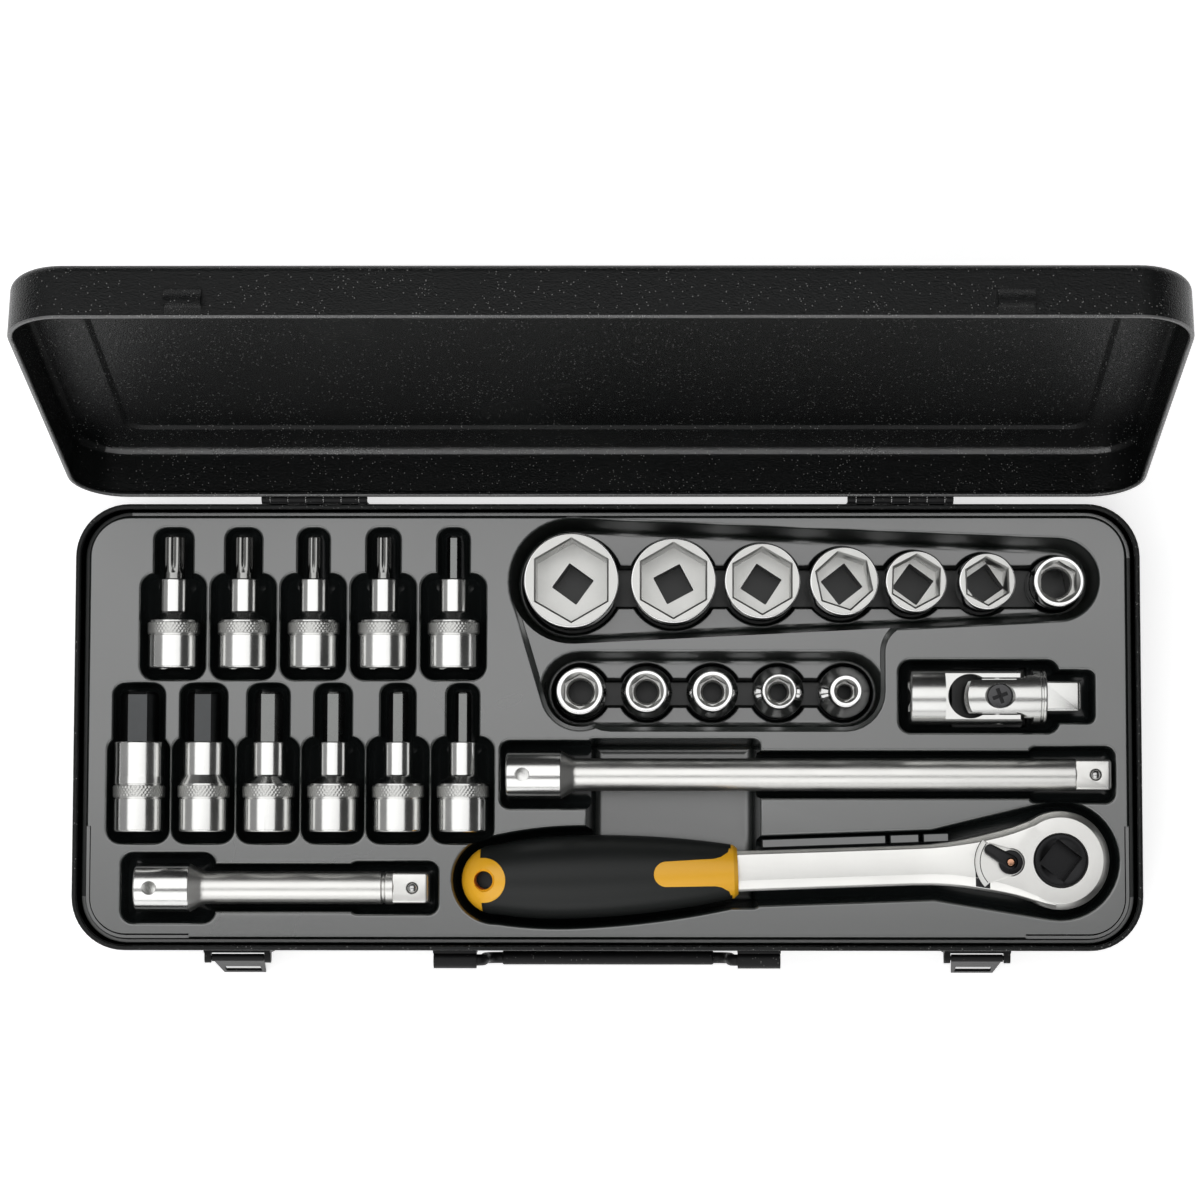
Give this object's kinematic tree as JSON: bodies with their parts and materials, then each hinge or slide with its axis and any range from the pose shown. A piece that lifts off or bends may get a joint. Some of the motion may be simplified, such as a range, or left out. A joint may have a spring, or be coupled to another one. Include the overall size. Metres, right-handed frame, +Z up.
{
  "type": "socket wrench set",
  "caption": "Hinged black sheet-metal case with a formed tray that holds a ratchet, hexagon sockets, screwdriver sockets, extension bars and a universal joint.",
  "frame": {"origin": "bottom centre of the case's lower shell, on the surface it stands on", "axes": "+X right along the case, +Y to the hinge side, +Z up"},
  "size_m": [0.45, 0.2738, 0.2245],
  "materials": {
    "case_lacquer": "black wrinkle lacquer with fine sparkle",
    "fitting_black": "satin black lacquer",
    "pin_steel": "bright turned steel",
    "tray_plastic": "satin moulded plastic",
    "chrome": "polished chrome, knurled bands matt",
    "satin_chrome": "satin chrome",
    "bit_steel": "dark ground tool steel",
    "black_steel": "black oxide steel",
    "copper_pin": "copper-coloured pin",
    "grip_yellow": "golden yellow moulded plastic",
    "grip_rubber": "charcoal soft rubber"
  },
  "bodies": {
    "case": {"case_base": "case_lacquer", "base_hinge_leaves": "fitting_black", "hinge_pins": "pin_steel", "latch_plates": "fitting_black", "handle_brackets": "fitting_black", "insert_tray": "tray_plastic", "tray_rim": "tray_plastic"},
    "lid": {"case_lid": "case_lacquer", "lid_hinge_leaves": "fitting_black"},
    "latch_left": {"latch_lever_left": "fitting_black"},
    "latch_right": {"latch_lever_right": "fitting_black"},
    "handle": {"carry_handle": "fitting_black"},
    "socket_30": {"socket_30": "chrome"},
    "socket_27": {"socket_27": "chrome"},
    "socket_24": {"socket_24": "chrome"},
    "socket_21": {"socket_21": "chrome"},
    "socket_19": {"socket_19": "chrome"},
    "socket_17": {"socket_17": "chrome"},
    "socket_15": {"socket_15": "chrome"},
    "socket_13": {"socket_13": "chrome"},
    "socket_12": {"socket_12": "chrome"},
    "socket_11": {"socket_11": "chrome"},
    "socket_10": {"socket_10": "chrome"},
    "socket_8": {"socket_8": "chrome"},
    "driver_lobe_1": {"lobe_holder_1": "chrome", "lobe_bit_1": "bit_steel"},
    "driver_lobe_2": {"lobe_holder_2": "chrome", "lobe_bit_2": "bit_steel"},
    "driver_lobe_3": {"lobe_holder_3": "chrome", "lobe_bit_3": "bit_steel"},
    "driver_lobe_4": {"lobe_holder_4": "chrome", "lobe_bit_4": "bit_steel"},
    "driver_hex_5": {"hex_holder_5": "chrome", "hex_bit_5": "bit_steel"},
    "driver_hex_14": {"hex_holder_14": "chrome", "hex_bit_14": "bit_steel"},
    "driver_hex_12": {"hex_holder_12": "chrome", "hex_bit_12": "bit_steel"},
    "driver_hex_10": {"hex_holder_10": "chrome", "hex_bit_10": "bit_steel"},
    "driver_hex_8": {"hex_holder_8": "chrome", "hex_bit_8": "bit_steel"},
    "driver_hex_7": {"hex_holder_7": "chrome", "hex_bit_7": "bit_steel"},
    "driver_hex_6": {"hex_holder_6": "chrome", "hex_bit_6": "bit_steel"},
    "long_bar": {"long_extension": "satin_chrome"},
    "short_bar": {"short_extension": "satin_chrome"},
    "joint_socket_end": {"joint_socket_yoke": "chrome", "joint_cross_pin": "pin_steel"},
    "joint_centre": {"joint_block": "pin_steel"},
    "joint_drive_end": {"joint_drive_yoke": "chrome", "joint_screw_pin": "black_steel"},
    "ratchet": {"ratchet_body": "satin_chrome", "ratchet_cover": "pin_steel", "grip_core": "grip_yellow", "grip_sleeve": "grip_rubber"},
    "ratchet_drive": {"ratchet_wheel": "black_steel"},
    "ratchet_lever": {"reverse_lever": "black_steel", "lever_pin": "copper_pin"}
  },
  "joints": [
    {"name": "lid_hinge", "type": "hinge", "parent": "case", "child": "lid", "pos_m": [0, 0.09585, 0.04015], "axis": [-1, 0, 0], "range_deg": [-106, 0]},
    {"name": "latch_left_pivot", "type": "hinge", "parent": "case", "child": "latch_left", "pos_m": [-0.156, -0.0974, 0.028], "axis": [1, 0, 0], "range_deg": [-166, 0]},
    {"name": "latch_right_pivot", "type": "hinge", "parent": "case", "child": "latch_right", "pos_m": [0.156, -0.0974, 0.028], "axis": [1, 0, 0], "range_deg": [-166, 0]},
    {"name": "handle_swing", "type": "hinge", "parent": "case", "child": "handle", "pos_m": [0, -0.0982, 0.031], "axis": [1, 0, 0], "range_deg": [-170, 0]},
    {"name": "lift_socket_30", "type": "slide", "parent": "case", "child": "socket_30", "axis": [0, 0, 1], "range_m": [0, 0.06]},
    {"name": "lift_socket_27", "type": "slide", "parent": "case", "child": "socket_27", "axis": [0, 0, 1], "range_m": [0, 0.06]},
    {"name": "lift_socket_24", "type": "slide", "parent": "case", "child": "socket_24", "axis": [0, 0, 1], "range_m": [0, 0.06]},
    {"name": "lift_socket_21", "type": "slide", "parent": "case", "child": "socket_21", "axis": [0, 0, 1], "range_m": [0, 0.06]},
    {"name": "lift_socket_19", "type": "slide", "parent": "case", "child": "socket_19", "axis": [0, 0, 1], "range_m": [0, 0.06]},
    {"name": "lift_socket_17", "type": "slide", "parent": "case", "child": "socket_17", "axis": [0, 0, 1], "range_m": [0, 0.06]},
    {"name": "lift_socket_15", "type": "slide", "parent": "case", "child": "socket_15", "axis": [0, 0, 1], "range_m": [0, 0.06]},
    {"name": "lift_socket_13", "type": "slide", "parent": "case", "child": "socket_13", "axis": [0, 0, 1], "range_m": [0, 0.06]},
    {"name": "lift_socket_12", "type": "slide", "parent": "case", "child": "socket_12", "axis": [0, 0, 1], "range_m": [0, 0.06]},
    {"name": "lift_socket_11", "type": "slide", "parent": "case", "child": "socket_11", "axis": [0, 0, 1], "range_m": [0, 0.06]},
    {"name": "lift_socket_10", "type": "slide", "parent": "case", "child": "socket_10", "axis": [0, 0, 1], "range_m": [0, 0.06]},
    {"name": "lift_socket_8", "type": "slide", "parent": "case", "child": "socket_8", "axis": [0, 0, 1], "range_m": [0, 0.06]},
    {"name": "lift_driver_lobe_1", "type": "slide", "parent": "case", "child": "driver_lobe_1", "axis": [0, 0, 1], "range_m": [0, 0.06]},
    {"name": "lift_driver_lobe_2", "type": "slide", "parent": "case", "child": "driver_lobe_2", "axis": [0, 0, 1], "range_m": [0, 0.06]},
    {"name": "lift_driver_lobe_3", "type": "slide", "parent": "case", "child": "driver_lobe_3", "axis": [0, 0, 1], "range_m": [0, 0.06]},
    {"name": "lift_driver_lobe_4", "type": "slide", "parent": "case", "child": "driver_lobe_4", "axis": [0, 0, 1], "range_m": [0, 0.06]},
    {"name": "lift_driver_hex_5", "type": "slide", "parent": "case", "child": "driver_hex_5", "axis": [0, 0, 1], "range_m": [0, 0.06]},
    {"name": "lift_driver_hex_14", "type": "slide", "parent": "case", "child": "driver_hex_14", "axis": [0, 0, 1], "range_m": [0, 0.06]},
    {"name": "lift_driver_hex_12", "type": "slide", "parent": "case", "child": "driver_hex_12", "axis": [0, 0, 1], "range_m": [0, 0.06]},
    {"name": "lift_driver_hex_10", "type": "slide", "parent": "case", "child": "driver_hex_10", "axis": [0, 0, 1], "range_m": [0, 0.06]},
    {"name": "lift_driver_hex_8", "type": "slide", "parent": "case", "child": "driver_hex_8", "axis": [0, 0, 1], "range_m": [0, 0.06]},
    {"name": "lift_driver_hex_7", "type": "slide", "parent": "case", "child": "driver_hex_7", "axis": [0, 0, 1], "range_m": [0, 0.06]},
    {"name": "lift_driver_hex_6", "type": "slide", "parent": "case", "child": "driver_hex_6", "axis": [0, 0, 1], "range_m": [0, 0.06]},
    {"name": "lift_long_bar", "type": "slide", "parent": "case", "child": "long_bar", "axis": [0, 0, 1], "range_m": [0, 0.06]},
    {"name": "lift_short_bar", "type": "slide", "parent": "case", "child": "short_bar", "axis": [0, 0, 1], "range_m": [0, 0.06]},
    {"name": "lift_joint_socket_end", "type": "slide", "parent": "case", "child": "joint_socket_end", "axis": [0, 0, 1], "range_m": [0, 0.06]},
    {"name": "joint_bend", "type": "hinge", "parent": "joint_socket_end", "child": "joint_centre", "pos_m": [0.1652, 0.0127, 0.033], "axis": [0, -1, 0], "range_deg": [0, 45]},
    {"name": "joint_swing", "type": "hinge", "parent": "joint_centre", "child": "joint_drive_end", "pos_m": [0.1652, 0.0127, 0.033], "axis": [0, 0, 1], "range_deg": [-3.5, 3.5]},
    {"name": "lift_ratchet", "type": "slide", "parent": "case", "child": "ratchet", "axis": [0, 0, 1], "range_m": [0, 0.06]},
    {"name": "wheel_spin", "type": "hinge", "parent": "ratchet", "child": "ratchet_drive", "pos_m": [0.1905, -0.0562, 0.031], "axis": [0, 0, 1], "continuous": true},
    {"name": "lever_swing", "type": "hinge", "parent": "ratchet", "child": "ratchet_lever", "pos_m": [0.16951, -0.05693, 0.031], "axis": [0, 0, 1], "range_deg": [0, 66]}
  ]
}
